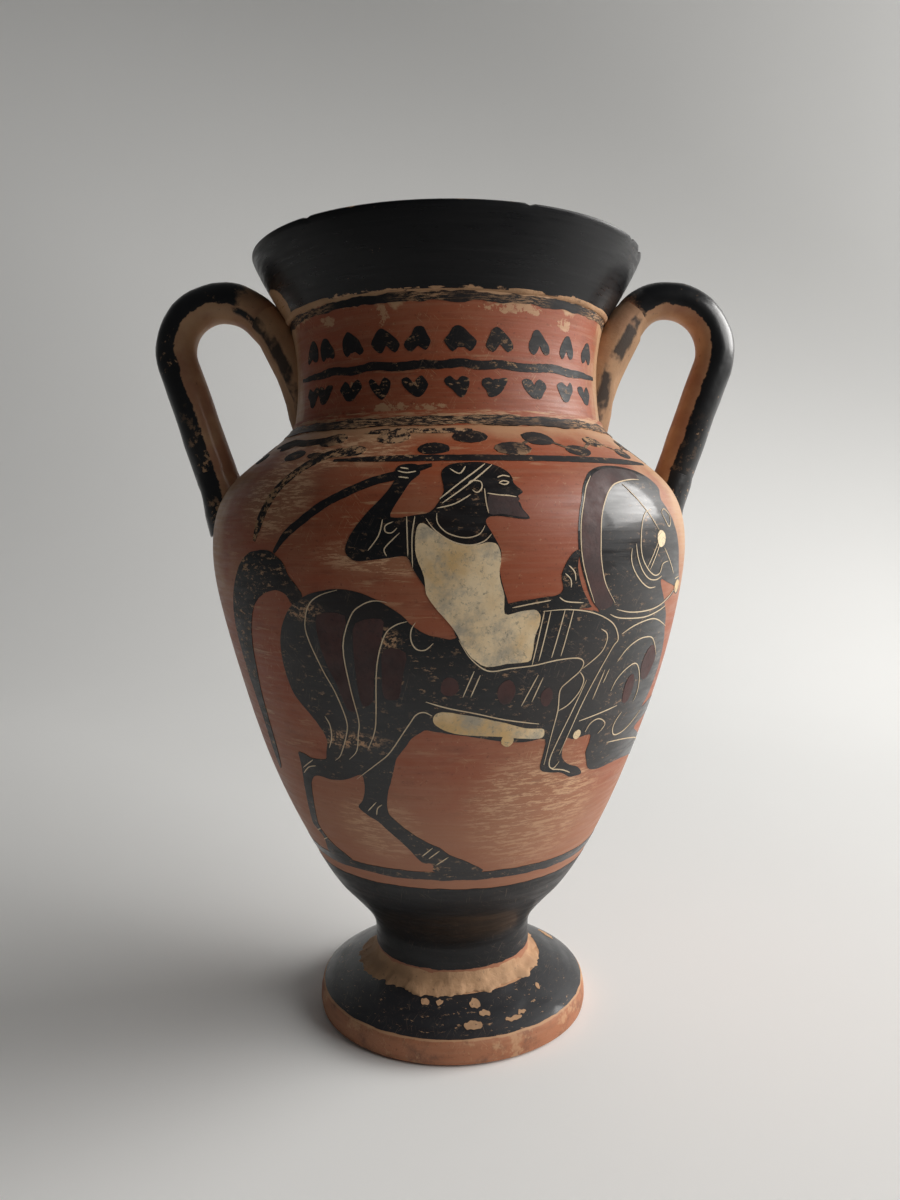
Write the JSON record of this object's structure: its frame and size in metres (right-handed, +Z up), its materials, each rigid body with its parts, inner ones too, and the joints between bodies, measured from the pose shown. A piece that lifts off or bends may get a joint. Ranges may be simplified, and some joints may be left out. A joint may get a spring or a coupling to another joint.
{
  "type": "neck amphora",
  "caption": "Wheel-thrown clay storage jar with disc foot, ovoid body, offset neck, flaring lip and paired loop handles, slip-painted with a galloping rider between dark bands.",
  "frame": {"origin": "centre of the foot's resting face, on the floor plane", "axes": "+Z up along the jar's axis; the handles lie along +X and -X; the painted side first seen faces -Y"},
  "size_m": [0.2146, 0.176, 0.28],
  "materials": {
    "red_clay": "fired red-orange clay, matt",
    "black_slip": "worn black gloss slip",
    "pale_clay": "pale tan clay, matt, worn"
  },
  "bodies": {
    "root": {"foot": "black_slip", "foot_luting": "pale_clay", "body": "red_clay", "neck_luting": "pale_clay", "neck": "red_clay", "lip_luting": "pale_clay", "lip": "black_slip", "left_handle": "black_slip", "right_handle": "black_slip", "left_neck_root_luting": "pale_clay", "left_shoulder_root_luting": "pale_clay", "right_neck_root_luting": "pale_clay", "right_shoulder_root_luting": "pale_clay"}
  },
  "joints": []
}
